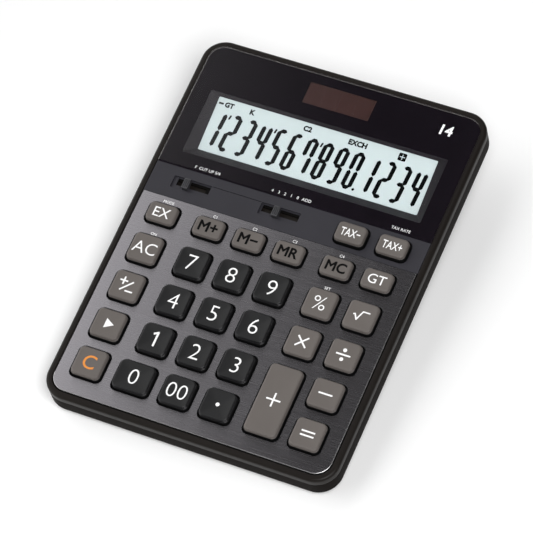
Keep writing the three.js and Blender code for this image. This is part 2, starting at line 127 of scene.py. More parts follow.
def mouldedGrainGroup():  # spark-eroded texture of moulded plastic, with slow uneven colour and gloss
    group, given, leave, place = newGroup("mouldedGrain", {
        "Color": (0.1, 0.1, 0.1, 1), "Roughness": 0.5, "Grain Size": 4000, "Grain Depth": 0.2, "Shade": 0.1,
        "Gloss Spread": 0.08,
    })

    def noise(**values):
        inputs = {"Vector": place, **values}
        return addNode(group, "ShaderNodeTexNoise", inputs).outputs["Fac"]

    grain = noise(Scale=given["Grain Size"], Detail=3, Roughness=0.6)
    relief = {"Distance": 0.00003, "Strength": given["Grain Depth"], "Height": grain}
    bump = addNode(group, "ShaderNodeBump", relief)
    shade = addNode(group, "ShaderNodeMapRange", {
        "From Min": 0.3,
        "From Max": 0.7,
        "To Min": mathNode(group, "SUBTRACT", 1, given["Shade"]),
        "To Max": mathNode(group, "ADD", 1, given["Shade"]),
        "Value": noise(Scale=34, Detail=5, Roughness=0.55),
    })
    rub = mathNode(group, "SUBTRACT", noise(Scale=150, Detail=4, Roughness=0.6, Distortion=0.4), 0.5)
    setInputs(group, leave, {
        "Color": scaleColor(group, given["Color"], shade.outputs["Result"]),
        "Roughness": mathNode(group, "MULTIPLY_ADD", rub, given["Gloss Spread"], given["Roughness"]),
        "Normal": bump.outputs["Normal"],
    })
    return group


def brushedStreaksGroup():  # long fine scratches along X
    group, given, leave, place = newGroup(
        "brushedStreaks", {"Color": (0.4, 0.4, 0.4, 1), "Roughness": 0.35, "Depth": 0.3, "Shade": 0.15}
    )
    coarse, fine = [], []
    for along, across, detail, found in [(16, 1500, 2, coarse), (60, 4200, 1, fine)]:
        stretch = addNode(group, "ShaderNodeMapping", {"Scale": (along, across, 0), "Vector": place})
        inputs = {"Scale": 1, "Detail": detail, "Roughness": 0.7, "Vector": stretch.outputs["Vector"]}
        found.append(addNode(group, "ShaderNodeTexNoise", inputs).outputs["Fac"])
    both = mathNode(group, "MULTIPLY_ADD", coarse[0], 0.6, mathNode(group, "MULTIPLY", fine[0], 0.4))
    bump = addNode(group, "ShaderNodeBump", {"Distance": 0.00004, "Strength": given["Depth"], "Height": both})
    centred = mathNode(group, "SUBTRACT", both, 0.5)
    tint = mathNode(group, "MULTIPLY_ADD", centred, given["Shade"], 1)
    setInputs(group, leave, {
        "Color": scaleColor(group, given["Color"], tint),
        "Roughness": mathNode(group, "MULTIPLY_ADD", centred, 0.25, given["Roughness"]),
        "Normal": bump.outputs["Normal"],
    })
    return group


mouldedGrain = mouldedGrainGroup()
brushedStreaks = brushedStreaksGroup()


def newFinish(name, **plain):
    material = bpy.data.materials.new(name)
    material.use_nodes = True
    tree = material.node_tree
    tree.nodes.clear()
    output = tree.nodes.new("ShaderNodeOutputMaterial")
    shader = tree.nodes.new("ShaderNodeBsdfPrincipled")
    tree.links.new(shader.outputs["BSDF"], output.inputs["Surface"])
    for socket, value in plain.items():
        shader.inputs[socket.replace("_", " ")].default_value = value
    return material, tree, shader


def surfaceFrom(material, tree, shader, group, values):
    node = addNode(tree, "ShaderNodeGroup", values, node_tree=group)
    outputs = node.outputs
    setInputs(tree, shader, {
        "Base Color": outputs["Color"], "Roughness": outputs["Roughness"], "Normal": outputs["Normal"],
    })
    return material


def plastic(name, color, roughness, size=4000, depth=0.2, shade=0.1, spread=0.1, **plain):
    return surfaceFrom(*newFinish(name, **plain), mouldedGrain, {
        "Color": (*color, 1), "Roughness": roughness, "Grain Size": size, "Grain Depth": depth,
        "Shade": shade, "Gloss Spread": spread,
    })


def brushed(name, color, roughness, depth=0.3, shade=0.3, **plain):
    material, tree, shader = newFinish(name, **plain)
    tangent = addNode(tree, "ShaderNodeTangent", direction_type="UV_MAP", uv_map="brush")
    tree.links.new(tangent.outputs["Tangent"], shader.inputs["Tangent"])
    values = {"Color": (*color, 1), "Roughness": roughness, "Depth": depth, "Shade": shade}
    return surfaceFrom(material, tree, shader, brushedStreaks, values)


def clearAcrylic(name):  # lets the lamps through, so that what lies under it is lit
    plain = {"Transmission_Weight": 1.0, "IOR": 1.43, "Base_Color": (0.97, 0.98, 0.98, 1)}
    material, tree, shader = newFinish(name, **plain)
    output = next(n for n in tree.nodes if n.type == "OUTPUT_MATERIAL")
    path = addNode(tree, "ShaderNodeLightPath")
    through = addNode(tree, "ShaderNodeBsdfTransparent")
    either = addNode(tree, "ShaderNodeMixShader", {
        0: path.outputs["Is Shadow Ray"], 1: shader.outputs["BSDF"], 2: through.outputs["BSDF"],
    })
    tree.links.new(either.outputs["Shader"], output.inputs["Surface"])
    place = addNode(tree, "ShaderNodeTexCoord").outputs["Object"]
    smear = addNode(
        tree, "ShaderNodeTexNoise", {"Scale": 60, "Detail": 6, "Roughness": 0.7, "Vector": place},
    )
    amount = addNode(tree, "ShaderNodeMapRange", {
        "From Min": 0.45, "From Max": 0.8, "To Min": 0.0, "To Max": 0.03, "Value": smear.outputs["Fac"],
    })
    tree.links.new(amount.outputs["Result"], shader.inputs["Roughness"])
    return material


finishes = {
    "case": plastic("casePlastic", (0.0108, 0.0088, 0.0076), 0.38, depth=0.2, Specular_IOR_Level=0.13),
    "caseLower": plastic(
        "casePlasticLower", (0.0062, 0.0044, 0.0036), 0.6, depth=0.4, Specular_IOR_Level=0.03,
    ),
    # the recess floor is made much darker than the rim so the gaps round the panels and keys read darker:
    # painted shade
    "caseDeckPaintedShade": plastic(
        "casePlasticDeckPaintedShade", (0.0040, 0.0036, 0.0034), 0.6, depth=0.2, Specular_IOR_Level=0.05,
    ),
    "panel": brushed(
        "panelMetal", (0.50, 0.48, 0.51), 0.25, depth=0.08, shade=0.12, Metallic=1.0, Anisotropic=1.0,
        Anisotropic_Rotation=0.25,
    ),
    # bright cut-edge finish, given only to the edges that face the light: a painted highlight
    "panelEdgePaintedHighlight": brushed("panelCutEdgePaintedHighlight", (0.55, 0.54, 0.55), 0.35, Metallic=1.0),
    "strip": plastic(
        "stripPlastic", (0.024, 0.023, 0.029), 0.5, size=3000, depth=0.25, Specular_IOR_Level=0.3,
    ),
    "cover": clearAcrylic("coverAcrylic"),
    # light grey for the bare cover edge: a painted highlight
    "coverEdgePaintedHighlight": plastic("coverEdgePaintedHighlight", (0.085, 0.081, 0.078), 0.5, depth=0.05, Specular_IOR_Level=0.0),
    "coverInk": plastic(
        "coverInk", (0.0060, 0.0045, 0.0066), 0.6, size=1500, depth=0.05, Specular_IOR_Level=0.0,
    ),
    "bezel": plastic("bezelPlastic", (0.0058, 0.0042, 0.0064), 0.45, depth=0.15, Specular_IOR_Level=0.2),
    "display": plastic("displayReflector", (0.36, 0.41, 0.415), 0.45, size=2500, depth=0.04, shade=0.02),
    "segment": plastic("displaySegment", (0.0018, 0.0022, 0.0026), 0.5, depth=0.02, Specular_IOR_Level=0.0),
    "solar": plastic(
        "solarGlass", (0.027, 0.0125, 0.0115), 0.3, size=900, depth=0.02, shade=0.15,
        Specular_IOR_Level=0.1,
    ),
    "solarLine": plastic("solarLine", (0.030, 0.016, 0.014), 0.4, depth=0.02, Specular_IOR_Level=0.1),
    "keyBlack": plastic(
        "keyBlack", (0.0066, 0.0066, 0.0071), 0.42, size=3500, depth=0.15, Specular_IOR_Level=0.35,
    ),
    "keyGrey": plastic(
        "keyGrey", (0.112, 0.099, 0.091), 0.5, size=3500, depth=0.15, shade=0.05, Specular_IOR_Level=0.3,
    ),
    "inkWhite": plastic("inkWhite", (0.86, 0.86, 0.86), 0.5, depth=0.05, shade=0.02),
    "inkBlack": plastic("inkBlack", (0.003, 0.003, 0.003), 0.6, depth=0.05, Specular_IOR_Level=0.05),
    "inkOrange": plastic("inkOrange", (0.68, 0.24, 0.035), 0.5, depth=0.05, shade=0.04),
    "knob": plastic("knobPlastic", (0.036, 0.036, 0.040), 0.45, depth=0.2),
    "steel": plastic(
        "brightSteel", (0.60, 0.61, 0.62), 0.28, size=1800, depth=0.1, shade=0.06, Metallic=1.0,
    ),
    "brass": plastic(
        "contactBrass", (0.65, 0.48, 0.22), 0.3, size=1800, depth=0.1, shade=0.1, Metallic=1.0,
    ),
    "board": plastic("boardLaminate", (0.028, 0.12, 0.055), 0.4, size=700, depth=0.3, shade=0.25),
    "dome": plastic("domeRubber", (0.30, 0.31, 0.32), 0.75, size=1500, depth=0.3),
    "ribbon": plastic("ribbonFilm", (0.42, 0.17, 0.035), 0.35, size=600, depth=0.1, shade=0.2),
    "leadBlack": plastic("leadBlack", (0.012, 0.012, 0.012), 0.45),
    "leadRed": plastic("leadRed", (0.42, 0.035, 0.02), 0.45),
    "foot": plastic("footRubber", (0.014, 0.0135, 0.013), 0.8, size=1500, depth=0.5, shade=0.15),
}
print("finishes made:", len(finishes))


# ---- shaping and placing ----
def roundedSlab(low, high, radius, cornerSegments=8):
    bm = bmesh.new()
    low, high = Vector(low), Vector(high)
    bmesh.ops.create_cube(bm, size=1)
    bmesh.ops.scale(bm, vec=high - low, verts=bm.verts)
    bmesh.ops.translate(bm, vec=(low + high) / 2, verts=bm.verts)
    if radius:
        upright = [e for e in bm.edges if abs(e.verts[0].co.z - e.verts[1].co.z) > 1e-5]
        bevelAll(bm, upright, radius, cornerSegments)
    return bm


def boxAt(x, y, halfX, halfY, low, high, radius, cornerSegments=8):
    return roundedSlab((x - halfX, y - halfY, low), (x + halfX, y + halfY, high), radius, cornerSegments)


def bevelAll(bm, geom, offset, segments, affect="EDGES"):
    bmesh.ops.bevel(bm, geom=geom, offset=offset, segments=segments, profile=0.5, affect=affect, material=-1)


def shift(bm, x, y, z=0):
    bmesh.ops.translate(bm, vec=(x, y, z), verts=bm.verts)


def spin(bm, angle):
    bmesh.ops.rotate(bm, cent=(0, 0, 0), matrix=Matrix.Rotation(angle, 3, "Z"), verts=bm.verts)


def roundLoop(bm, z, offset, segments=3):  # rounds the sharp edges that lie at one height
    bm.normal_update()
    found = [
        e
        for e in bm.edges
        if all(abs(v.co.z - z) < 1e-4 for v in e.verts)
        and len(e.link_faces) == 2
        and e.calc_face_angle() > 0.6
    ]
    bevelAll(bm, found, offset, segments)


def facing(bm, direction, z=None):  # the largest face that looks along a direction
    bm.normal_update()
    way = Vector(direction)
    found = [f for f in bm.faces if f.normal.dot(way) > 0.999]
    if z is not None:
        found = [f for f in found if abs(f.calc_center_median().z - z) < 1e-3]
    return max(found, key=lambda f: f.calc_area())


def insetFace(bm, face, thickness, drop=0.0):
    bmesh.ops.inset_region(bm, faces=[face], thickness=thickness, depth=0, use_even_offset=True)
    if drop:
        bmesh.ops.translate(bm, vec=(0, 0, drop), verts=face.verts)
    return face


def shrinkFace(bm, face, share, drop=0.0):  # a smaller copy of the face inside it, joined to its edge
    bmesh.ops.inset_region(bm, faces=[face], thickness=0.01, depth=0, use_even_offset=True)
    centre = face.calc_center_bounds()
    for v in face.verts:
        v.co.x = centre.x + (v.co.x - centre.x) * share
        v.co.y = centre.y + (v.co.y - centre.y) * share
        v.co.z += drop
    return face


def pushFace(bm, face, distance):
    made = bmesh.ops.extrude_discrete_faces(bm, faces=[face])["faces"][0]
    bmesh.ops.translate(bm, vec=(0, 0, distance), verts=made.verts)
    return made


def asObject(bm, name="cutter"):
    mesh = bpy.data.meshes.new(name)
    bm.to_mesh(mesh)
    bm.free()
    obj = bpy.data.objects.new(name, mesh)
    bpy.context.scene.collection.objects.link(obj)
    return obj


def carve(bm, cutters, operation="DIFFERENCE"):  # cuts closed shapes out of another, or joins them to it
    body = asObject(bm, "carved")
    tools = []
    for cutter in cutters:
        tool = asObject(cutter)
        tools.append(tool)
        step = body.modifiers.new("cut", "BOOLEAN")
        step.operation = operation
        step.solver = "EXACT"
        step.object = tool
    shown = body.evaluated_get(bpy.context.evaluated_depsgraph_get())
    result = bmesh.new()
    result.from_mesh(shown.to_mesh())
    for obj in [body, *tools]:
        mesh = obj.data
        bpy.data.objects.remove(obj)
        bpy.data.meshes.remove(mesh)
    bmesh.ops.remove_doubles(result, verts=result.verts, dist=1e-4)
    return result


def joinShapes(bm, *others):
    for other in others:
        mesh = bpy.data.meshes.new("part")
        other.to_mesh(mesh)
        other.free()
        bm.from_mesh(mesh)
        bpy.data.meshes.remove(mesh)
    return bm


def cylinder(radius, low, high, x=0, y=0, segments=48, topRadius=None):
    bm = bmesh.new()
    bmesh.ops.create_cone(
        bm,
        cap_ends=True,
        segments=segments,
        radius1=radius,
        radius2=radius if topRadius is None else topRadius,
        depth=high - low,
    )
    shift(bm, x, y, (low + high) / 2)
    return bm


# corners in the order right-top, left-top, left-bottom, right-bottom
def outlinePoints(low, high, radii, segments=8):
    points = []
    corners = [(high[0], high[1], 0), (low[0], high[1], 1), (low[0], low[1], 2), (high[0], low[1], 3)]
    for (x, y, turn), radius in zip(corners, radii):
        start = turn * math.pi / 2
        middleX = x - radius * (1 if turn in (0, 3) else -1)
        middleY = y - radius * (1 if turn in (0, 1) else -1)
        count = segments if radius > 0 else 0
        for i in range(count + 1):
            angle = start + (math.pi / 2) * (i / max(count, 1))
            points.append((middleX + radius * math.cos(angle), middleY + radius * math.sin(angle)))
    return points


def fromCurve(curve):
    holder = bpy.data.objects.new(curve.name, curve)
    bpy.context.scene.collection.objects.link(holder)
    bpy.context.view_layer.update()
    bm = bmesh.new()
    bm.from_mesh(holder.evaluated_get(bpy.context.evaluated_depsgraph_get()).to_mesh())
    bpy.data.objects.remove(holder)
    bpy.data.curves.remove(curve)
    bmesh.ops.remove_doubles(bm, verts=bm.verts, dist=1e-4)
    return bm


def boxOutline(low, high, grow, radii, segments=8):  # an outline grown on all sides, or shrunk
    return outlinePoints((low.x - grow, low.y - grow), (high.x + grow, high.y + grow), radii, segments)


# the first outline less the others, edges rounded
def flatPlate(outlines, low, high, edge=0.0, edgeSegments=2):
    curve = bpy.data.curves.new("plate", "CURVE")
    curve.dimensions = "2D"
    curve.fill_mode = "BOTH"
    for points in outlines:
        spline = curve.splines.new("POLY")
        spline.points.add(len(points) - 1)
        for spot, (x, y) in zip(spline.points, points):
            spot.co = (x, y, 0, 1)
        spline.use_cyclic_u = True
    curve.extrude = (high - low) / 2 - edge
    curve.bevel_depth = edge
    curve.bevel_resolution = edgeSegments
    curve.offset = -edge
    bm = fromCurve(curve)
    bmesh.ops.recalc_face_normals(bm, faces=bm.faces)
    shift(bm, 0, 0, (low + high) / 2)
    return bm


def lettering(text, width=None, height=None, thickness=0.03, weight=0.0, lean=0.0):  # centred on its middle
    curve = bpy.data.curves.new("text", "FONT")
    curve.body = text
    curve.size = 10
    curve.resolution_u = 4
    curve.extrude = 0.4
    curve.bevel_depth = max(weight, 0)  # thickens the strokes
    curve.offset = min(weight, 0)  # thins them
    curve.shear = lean
    bm = fromCurve(curve)
    xs = [v.co.x for v in bm.verts]
    ys = [v.co.y for v in bm.verts]
    wide, tall = max(xs) - min(xs), max(ys) - min(ys)
    shift(bm, -(max(xs) + min(xs)) / 2, -(max(ys) + min(ys)) / 2)
    scaleX = width / wide if width else height / tall
    scaleY = height / tall if height else width / wide
    bmesh.ops.scale(bm, vec=(scaleX, scaleY, thickness), verts=bm.verts)
    bmesh.ops.recalc_face_normals(bm, faces=bm.faces)
    return bm


def shadeBy(bm, angle=0.35):
    bm.normal_update()
    for face in bm.faces:
        face.smooth = True
    for edge in bm.edges:
        edge.smooth = len(edge.link_faces) == 2 and edge.calc_face_angle(0) < angle


def placePiece(name, bm, matrix, body, materials, nodes=(), brush=False, angle=0.35):
    shadeBy(bm, angle)
    if brush:  # a map that runs along X, for the direction of brushing
        layer = bm.loops.layers.uv.new("brush")
        for face in bm.faces:
            for loop in face.loops:
                loop[layer].uv = (loop.vert.co.x / 100, (loop.vert.co.y + loop.vert.co.z) / 100)
    mesh = bpy.data.meshes.new(name)
    bm.transform(matrix)
    bm.to_mesh(mesh)
    bm.free()
    for material in materials:
        mesh.materials.append(finishes[material])
    piece = bpy.data.objects.new(name, mesh)
    bpy.context.scene.collection.objects.link(piece)
    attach(piece, body)
    if nodes:
        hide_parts(*nodes)
    return piece


# ---- case rim and deck ----
case = {
    "cornerRadius": 12,
    "shoulder": 1.6,  # how far the rounded top edge comes in
    "recess": 3.2,  # from the outline to the panels' recess
    "rimBottom": -4.5,
    "trayBottom": -13.6,
    "deckTop": -0.9,
    "deckBottom": -2.9,
    "wall": 2.2,
    "lowerRound": 0.9,
    "seam": 0.3,
}
caseLow, caseHigh = faceSpan("upper_case")


def makeRim():
    bm = roundedSlab(
        (caseLow.x, caseLow.y, case["rimBottom"]), (caseHigh.x, caseHigh.y, 0), case["cornerRadius"], 14,
    )
    roundLoop(bm, 0, case["shoulder"], 6)
    top = insetFace(bm, facing(bm, (0, 0, 1)), 0.06)
    top = insetFace(bm, top, case["recess"] - case["shoulder"] - 0.36)
    top = insetFace(bm, top, 0.3, drop=-0.12)
    top = pushFace(bm, top, case["deckBottom"] + 0.12)
    bottom = insetFace(bm, facing(bm, (0, 0, -1)), case["wall"])
    bottom = pushFace(bm, bottom, case["deckBottom"] - case["rimBottom"] - 0.4)
    bottom = insetFace(bm, bottom, case["recess"] - case["wall"])
    loops = [*top.edges, *bottom.edges]
    bmesh.ops.delete(bm, geom=[top, bottom], context="FACES_ONLY")
    bmesh.ops.bridge_loops(bm, edges=loops)
    bmesh.ops.recalc_face_normals(bm, faces=bm.faces)
    return bm


keyNames = [n for n in frame["nodes"] if n.startswith("key_") and n != "key_panel"]
flange = 1.3
keySpans = {}
for name in keyNames:
    low, high = faceSpan(name)
    keySpans[name] = (low + Vector((flange, flange, 0)), high - Vector((flange, flange, 0)))
panelLow, panelHigh = faceSpan("key_panel")
stripLow, stripHigh = faceSpan("switch_strip")
coverLow, coverHigh = faceSpan("display_cover")
bezelLow, bezelHigh = faceSpan("display_bezel")
solarLow, solarHigh = faceSpan("solar_cell")
knobs = {n: faceSpan(n) for n in ("rounding_switch_knob", "decimal_switch_knob")}
slides = {j["child"]: j["range_m"] for j in frame["joints"] if j["child"] in knobs}


def keyOpening(name, grow, radius):
    return boxOutline(*keySpans[name], grow, [radius] * 4, 6)


def keyHoles(plate, names):
    return [keyOpening(name, plate["holeGap"], plate["holeRadius"]) for name in names]


def makeDeck():
    inset = case["recess"] + 0.02
    edge = boxOutline(caseLow, caseHigh, -inset, [case["cornerRadius"] - inset] * 4, 14)
    holes = [keyOpening(name, 0.5, 0.4) for name in keyNames]
    holes.append(boxOutline(bezelLow, bezelHigh, 0.2, [0.4] * 4, 2))
    holes.append(boxOutline(solarLow, solarHigh, 0.3, [0.4] * 4, 2))
    for name, (low, high) in knobs.items():
        middle = (low.x + high.x) / 2
        reach = [value / mm for value in slides[name]]
        line = (low.y + high.y) / 2
        holes.append(
            outlinePoints(
                (middle + reach[0] - 1.6, line - 1.7), (middle + reach[1] + 1.6, line + 1.7), [0.4] * 4, 2,
            )
        )
    bm = flatPlate([edge, *holes], case["deckBottom"], case["deckTop"])
    # the deck steps down under the strip and the cover
    for low, high, top in [(stripLow.y - 0.15, stripHigh.y + 0.15, -2.0), (coverLow.y - 0.15, 200, -1.3)]:
        bm = carve(bm, [roundedSlab((-100, low, top), (100, high, 2), 0)])
    return bm


placePiece("case_rim", makeRim(), faceMatrix, "root", ["case"], ["upper_case"])
# the deck takes the darkened finish, painted shade in the gaps
placePiece("case_deck", makeDeck(), faceMatrix, "root", ["caseDeckPaintedShade"], ["upper_case"])
print("case rim and deck made")

# ---- key panel ----
panel = {"holeGap": 0.75, "holeRadius": 3.3, "edge": 0.2, "cornerRadius": 8.1}


def makeKeyPanel():
    holes = keyHoles(panel, [n for n in keyNames if keySpans[n][1].y < panelHigh.y])
    radius = panel["cornerRadius"]
    edge = outlinePoints(panelLow, panelHigh, [0, 0, radius, radius], 14)
    bm = flatPlate([edge, *holes], panelLow.z, panelHigh.z, panel["edge"], 1)
    bm.normal_update()
    for face in bm.faces:  # the cut edge gets a bright finish on the right and front outside edges, a painted highlight, and the dark knob finish in the key holes and on the other edges, painted shade
        if face.normal.z > 0.98:
            continue
        face.material_index = 2
        middle = face.calc_center_median()
        outside = min(
            middle.x - panelLow.x, panelHigh.x - middle.x, middle.y - panelLow.y, panelHigh.y - middle.y,
        )
        cornerX, cornerY = panelHigh.x - radius, panelLow.y + radius
        if abs(middle.x) > cornerX and middle.y < cornerY:
            outside = radius - math.hypot(abs(middle.x) - cornerX, middle.y - cornerY)
        # only the right and front outside edges get the bright finish, a painted highlight; the rest keep the
        # dark one, painted shade
        if outside < 0.6 and (middle.x > 0 or middle.y < cornerY):
            face.material_index = 1
    return bm


placePiece(
    "key_panel_sheet", makeKeyPanel(), faceMatrix, "root", [
        "panel", "panelEdgePaintedHighlight", "knob",
    ], ["key_panel"],
    brush=True, angle=0.1,
)

# ---- switch strip ----
strip = {
    "holeGap": 0.75,
    "holeRadius": 3.3,
    "edge": 0.15,
    "troughDepth": 1.0,
    "troughs": {"rounding_switch_knob": (-62, -41.6), "decimal_switch_knob": (-14.2, 6.9)},
    "troughWidth": 6.6,
    "slot": (-1.2, 2.7),  # where the open slot lies across a trough
    "crease": (-41.0, 25.2, -14.8, 25.45),
}


def makeStrip():
    holes = keyHoles(strip, [n for n in keyNames if keySpans[n][1].y > panelHigh.y])
    floors = []
    for name, (start, end) in strip["troughs"].items():
        low, high = knobs[name]
        line = (low.y + high.y) / 2
        leftmost = (low.x + high.x) / 2 + slides[name][0] / mm
        half = strip["troughWidth"] / 2
        trough = outlinePoints((start, line - half), (end, line + half), [0.5] * 4, 3)
        front, back = strip["slot"]
        slotHole = outlinePoints((leftmost - 1.4, line + front), (end - 0.5, line + back), [0.3] * 4, 2)
        holes.append(trough)
        skirt = outlinePoints(
            (start - 0.4, line - half - 0.4), (end + 0.4, line + half + 0.4), [0.6] * 4, 3,
        )
        floors.append(flatPlate([skirt, slotHole], stripLow.z, stripHigh.z - strip["troughDepth"]))
    left, front, right, back = strip["crease"]
    holes.append(outlinePoints((left, front), (right, back), [0.1] * 4, 1))
    bm = flatPlate(
        [outlinePoints(stripLow, stripHigh, [0] * 4), *holes], stripLow.z, stripHigh.z, strip["edge"], 1,
    )
    return joinShapes(bm, *floors)


placePiece(
    "switch_strip_plate", makeStrip(), faceMatrix, "root", ["strip"], ["switch_strip"],
    angle=0.1,
)
print("key panel and switch strip made")

# ---- display cover ----
cover = {"cornerRadius": 8.5, "edge": 0.35, "window": (64.6, 39.4, 76.9)}  # window: half width, low, high


def makeCover():
    radius = cover["cornerRadius"]
    outline = outlinePoints(coverLow, coverHigh, [radius, radius, 0, 0], 14)
    return flatPlate([outline], coverLow.z, coverHigh.z, cover["edge"], 2)


def makeCoverInk():
    radius = cover["cornerRadius"] - 0.25
    outline = boxOutline(coverLow, coverHigh, -0.25, [radius, radius, 0.2, 0.2], 14)
    halfWidth, low, high = cover["window"]
    window = outlinePoints((-halfWidth, low), (halfWidth, high), [0.8] * 4, 4)
    sun = boxOutline(solarLow, solarHigh, 0, [0.2] * 4, 2)
    return flatPlate([outline, window, sun], coverLow.z - 0.03, coverLow.z + 0.05)


def makeCoverEdge():  # the bare edge of the clear plate, which the ink leaves free, filled with an opaque light grey ring: a painted highlight for the light along the acrylic's edge
    radius = cover["cornerRadius"]
    outer = outlinePoints(
        (coverLow.x + 0.04, coverLow.y + 0.3), (
            coverHigh.x - 0.04, coverHigh.y - 0.04,
        ), [radius, radius, 0.1, 0.1], 14
    )
    inner = outlinePoints(
        (coverLow.x + 0.24, coverLow.y + 0.5), (
            coverHigh.x - 0.24, coverHigh.y - 0.24,
        ), [radius, radius, 0.1, 0.1], 14
    )
    return flatPlate([outer, inner], coverLow.z - 0.03, coverLow.z + 0.04)


placePiece(
    "display_cover_sheet", makeCover(), faceMatrix, "root", ["cover"], ["display_cover"],
    angle=0.1,
)
placePiece(
    "display_cover_ink", makeCoverInk(), faceMatrix, "root", ["coverInk"], ["display_cover"], angle=0.1,
)
placePiece(
    "display_cover_edge_highlight", makeCoverEdge(), faceMatrix, "root", ["coverEdgePaintedHighlight"], ["display_cover"], angle=0.1,
)

# ---- display bezel ----
glassPoints = [faceMatrix.inverted() @ v.co for v in frame["nodes"]["display_glass"].data.vertices]
glassLow, glassHigh = faceSpan("display_glass")
frontLow = max((p for p in glassPoints if p.y < glassLow.y + 0.6), key=lambda p: p.z)
frontHigh = max((p for p in glassPoints if p.y > glassHigh.y - 0.6), key=lambda p: p.z)
viewTilt = math.atan2(frontHigh.z - frontLow.z, frontHigh.y - frontLow.y)
viewMiddle = Vector((0, (frontLow.y + frontHigh.y) / 2, (frontLow.z + frontHigh.z) / 2))
displayMatrix = faceMatrix @ Matrix.Translation(viewMiddle) @ Matrix.Rotation(viewTilt, 4, "X")
glassThickness = 1.9
view = {
    "halfWidth": 59.7, "halfLength": 15.083, "above": 1.0,
}  # above: the view edge's height over the glass


def makeBezel():
    bm = roundedSlab((bezelLow.x, bezelLow.y, bezelLow.z), (bezelHigh.x, bezelHigh.y, bezelHigh.z), 0.6, 2)
    halfWidth, low, high = cover["window"]
    funnel = bmesh.new()
    bmesh.ops.create_cube(funnel, size=2)
    turn = Matrix.Rotation(viewTilt, 4, "X")
    for v in funnel.verts:
        if v.co.z > 0:
            v.co = Vector((v.co.x * halfWidth, high if v.co.y > 0 else low, bezelHigh.z + 0.01))
        else:
            spot = Vector((v.co.x * view["halfWidth"], v.co.y * view["halfLength"], view["above"] - 0.3))
            v.co = viewMiddle + turn @ spot
    spread = {e: e.verts[0].co - e.verts[1].co for e in funnel.edges}
    upright = [e for e, d in spread.items() if abs(d.z) > 0.5 and abs(d.y) < 8 and abs(d.x) < 8]
    bevelAll(funnel, upright, 0.8, 3)
    opening = roundedSlab(
        (-view["halfWidth"], -view["halfLength"], -2), (view["halfWidth"], view["halfLength"], 1.2), 0.5, 2,
    )
    bmesh.ops.transform(opening, matrix=Matrix.Translation(viewMiddle) @ turn, verts=opening.verts)
    pocket = roundedSlab((glassLow.x - 0.3, -17, -12), (glassHigh.x + 0.3, 17, 0.3), 0)
    bmesh.ops.transform(pocket, matrix=Matrix.Translation(viewMiddle) @ turn, verts=pocket.verts)
    return carve(bm, [funnel, opening, pocket])


placePiece(
    "display_bezel_frame", makeBezel(), faceMatrix, "root", ["bezel"], ["display_bezel"],
    angle=0.5,
)

# ---- display glass with its segments ----
segments = {
    "pitch": 8.42,
    "first": -55.15,
    "low": 2.56 - 15.083,
    "high": 23.2 - 15.083,
    "width": 5.9,
    "stroke": 2.2,
    "slant": math.tan(math.radians(4.7)),
    "shown": "12345678901234",
    "marks": (0, 3, 6),  # places with a separator after them
    "point": 9,
}
segmentsOf = {
    "0": "abcdef", "1": "bc", "2": "abged", "3": "abgcd", "4": "fgbc",
    "5": "afgcd", "6": "afgedc", "7": "fabc", "8": "abcdefg", "9": "gfabcd",
}


def segmentBar(start, end, stroke):  # a bar with pointed ends from one joint to the next
    bm = bmesh.new()
    start, end = Vector(start), Vector(end)
    length = (end - start).length - 0.3
    bmesh.ops.create_grid(bm, x_segments=1, y_segments=1, size=0.5)
    bmesh.ops.scale(bm, vec=(length, stroke, 1), verts=bm.verts)
    bevelAll(bm, bm.verts[:], min(stroke, length) * 0.42, 1, "VERTICES")
    angle = math.atan2(end.y - start.y, end.x - start.x)
    spin(bm, angle)
    shift(bm, (start.x + end.x) / 2, (start.y + end.y) / 2)
    return bm


def thicken(bm, depth):
    bmesh.ops.solidify(bm, geom=bm.faces[:], thickness=depth)
    bmesh.ops.recalc_face_normals(bm, faces=bm.faces)
    return bm


def makeDigits():
    segmentBars = bmesh.new()
    half = segments["stroke"] / 2
    right, top = segments["width"] / 2 - half, segments["high"] - half
    bottom = segments["low"] + half
    middle = (top + bottom) / 2
    ends = {
        "a": ((-right, top), (right, top)),
        "b": ((right, top), (right, middle)),
        "c": ((right, middle), (right, bottom)),
        "d": ((-right, bottom), (right, bottom)),
        "e": ((-right, middle), (-right, bottom)),
        "f": ((-right, top), (-right, middle)),
        "g": ((-right, middle), (right, middle)),
    }
    for place, digit in enumerate(segments["shown"]):
        x = segments["first"] + place * segments["pitch"]
        for letter in segmentsOf[digit]:
            (x0, y0), (x1, y1) = ends[letter]
            joinShapes(segmentBars, segmentBar((x + x0, y0, 0), (x + x1, y1, 0), segments["stroke"]))
        if place in segments["marks"]:
            joinShapes(segmentBars, segmentBar((x + 4.5, top + 0.4, 0), (x + 4.1, top - 2.6, 0), 1.0))
        if place == segments["point"]:
            joinShapes(segmentBars, segmentBar((x + 3.3, bottom - 0.2, 0), (x + 5.2, bottom - 0.2, 0), 1.6))
    for v in segmentBars.verts:
        v.co.x += segments["slant"] * v.co.y
        v.co.z = 0.04
    return thicken(segmentBars, 0.03)


signs = [  # text, place, height
    ("GT", -53.0, 2.9), ("K", -40.2, 2.9), ("C2", -9.8, 3.0), ("EXCH", 17.5, 3.1),
]
signBox = {"x": 41.5, "half": 2.1, "arm": 1.4, "barHalf": 0.2}


def makeSigns():
    bm = bmesh.new()
    line = 27.0 - 15.083
    for text, x, height in signs:
        word = lettering(text, None, height, weight=0.55)
        shift(word, x, line, 0.03)
        joinShapes(bm, word)
    joinShapes(bm, roundedSlab((-58.9, line - 0.5, 0), (-56.3, line + 0.5, 0.05), 0.1, 1))
    x, half, arm, bar = signBox["x"], signBox["half"], signBox["arm"], signBox["barHalf"]
    joinShapes(bm, boxAt(x, line, half, half, 0, 0.05, 0.6, 3))
    cross = joinShapes(
        boxAt(x, line, arm, bar, 0.05, 0.08, 0.1, 1),
        boxAt(x, line, bar, arm, 0.05, 0.07, 0.1, 1),
    )
    for face in cross.faces:  # a light cross on the dark box
        face.material_index = 1
    return joinShapes(bm, cross)


